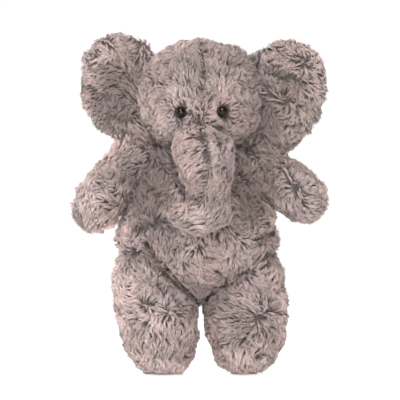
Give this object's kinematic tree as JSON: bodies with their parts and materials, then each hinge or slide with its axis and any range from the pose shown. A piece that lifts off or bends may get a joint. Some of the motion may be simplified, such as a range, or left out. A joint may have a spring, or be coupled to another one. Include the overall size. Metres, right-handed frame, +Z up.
{
  "type": "stuffed elephant",
  "caption": "Upright long-pile plush elephant with round ears, a hanging trunk, rounded limbs and glossy safety eyes.",
  "frame": {"origin": "on the floor under the middle of the toy's bounding box, as it stands upright on its feet", "axes": "+Z up along the toy's height; the face and trunk look toward -Y; +X is the toy's own left"},
  "size_m": [0.2494, 0.1916, 0.3392],
  "materials": {
    "long_pile_plush": "matte",
    "stuffing": "matte",
    "eye_resin": "gloss",
    "washer_plastic": "satin"
  },
  "bodies": {
    "torso": {"torso_belly_panel": "long_pile_plush", "torso_panel_left": "long_pile_plush", "torso_panel_right": "long_pile_plush", "torso_stuffing": "stuffing"},
    "neck": {"neck_band": "long_pile_plush", "neck_stuffing": "stuffing"},
    "head": {"head_panel_left": "long_pile_plush", "head_panel_right": "long_pile_plush", "head_back_panel": "long_pile_plush", "head_stuffing": "stuffing", "eye_left": "eye_resin", "eye_right": "eye_resin", "eye_washer_left": "washer_plastic", "eye_washer_right": "washer_plastic"},
    "trunk": {"trunk_cover": "long_pile_plush", "trunk_stuffing": "stuffing"},
    "trunk_tip": {"trunk_tip_cover": "long_pile_plush", "trunk_tip_stuffing": "stuffing"},
    "ear_right": {"ear_right_front_panel": "long_pile_plush", "ear_right_back_panel": "long_pile_plush", "ear_right_padding": "stuffing"},
    "ear_left": {"ear_left_front_panel": "long_pile_plush", "ear_left_back_panel": "long_pile_plush", "ear_left_padding": "stuffing"},
    "arm_right": {"arm_right_cover": "long_pile_plush", "arm_right_stuffing": "stuffing"},
    "arm_left": {"arm_left_cover": "long_pile_plush", "arm_left_stuffing": "stuffing"},
    "leg_right": {"leg_right_cover": "long_pile_plush", "leg_right_stuffing": "stuffing"},
    "leg_left": {"leg_left_cover": "long_pile_plush", "leg_left_stuffing": "stuffing"},
    "tail": {"tail_cover": "long_pile_plush", "tail_stuffing": "stuffing"}
  },
  "joints": [
    {"name": "neck_nod", "type": "hinge", "parent": "torso", "child": "neck", "pos_m": [-0.00126, 0.01426, 0.233], "axis": [-1, 0, 0], "range_deg": [-6, 18], "stiffness_Nm_per_rad": 0.6},
    {"name": "head_turn", "type": "hinge", "parent": "neck", "child": "head", "pos_m": [-0.00126, 0.01426, 0.233], "axis": [0, 0, 1], "range_deg": [-45, 45], "stiffness_Nm_per_rad": 0.4},
    {"name": "trunk_lift", "type": "hinge", "parent": "head", "child": "trunk", "pos_m": [-0.00026, -0.04174, 0.238], "axis": [-1, 0, 0], "range_deg": [0, 55], "stiffness_Nm_per_rad": 0.1},
    {"name": "trunk_tip_curl", "type": "hinge", "parent": "trunk", "child": "trunk_tip", "pos_m": [0.00524, -0.07574, 0.183], "axis": [-1, 0, 0], "range_deg": [-5, 45], "stiffness_Nm_per_rad": 0.04},
    {"name": "ear_right_flap", "type": "hinge", "parent": "head", "child": "ear_right", "pos_m": [-0.06126, 0.01926, 0.289], "axis": [0, 0, 1], "range_deg": [-35, 26], "stiffness_Nm_per_rad": 0.08},
    {"name": "ear_left_flap", "type": "hinge", "parent": "head", "child": "ear_left", "pos_m": [0.06074, 0.01926, 0.2785], "axis": [0, 0, -1], "range_deg": [-35, 26], "stiffness_Nm_per_rad": 0.08},
    {"name": "arm_right_swing", "type": "hinge", "parent": "torso", "child": "arm_right", "pos_m": [-0.07126, 0.01726, 0.208], "axis": [-1, 0, 0], "range_deg": [-40, 75], "stiffness_Nm_per_rad": 0.08},
    {"name": "arm_left_swing", "type": "hinge", "parent": "torso", "child": "arm_left", "pos_m": [0.06274, 0.01726, 0.203], "axis": [-1, 0, 0], "range_deg": [-40, 75], "stiffness_Nm_per_rad": 0.08},
    {"name": "leg_right_fold", "type": "hinge", "parent": "torso", "child": "leg_right", "pos_m": [-0.04626, 0.01626, 0.093], "axis": [-1, 0, 0], "range_deg": [-15, 60], "stiffness_Nm_per_rad": 0.5},
    {"name": "leg_left_fold", "type": "hinge", "parent": "torso", "child": "leg_left", "pos_m": [0.04074, 0.01626, 0.092], "axis": [-1, 0, 0], "range_deg": [-15, 60], "stiffness_Nm_per_rad": 0.5},
    {"name": "tail_wag", "type": "hinge", "parent": "torso", "child": "tail", "pos_m": [-0.00476, 0.07076, 0.113], "axis": [0, 1, 0], "range_deg": [-30, 30], "stiffness_Nm_per_rad": 0.006}
  ]
}
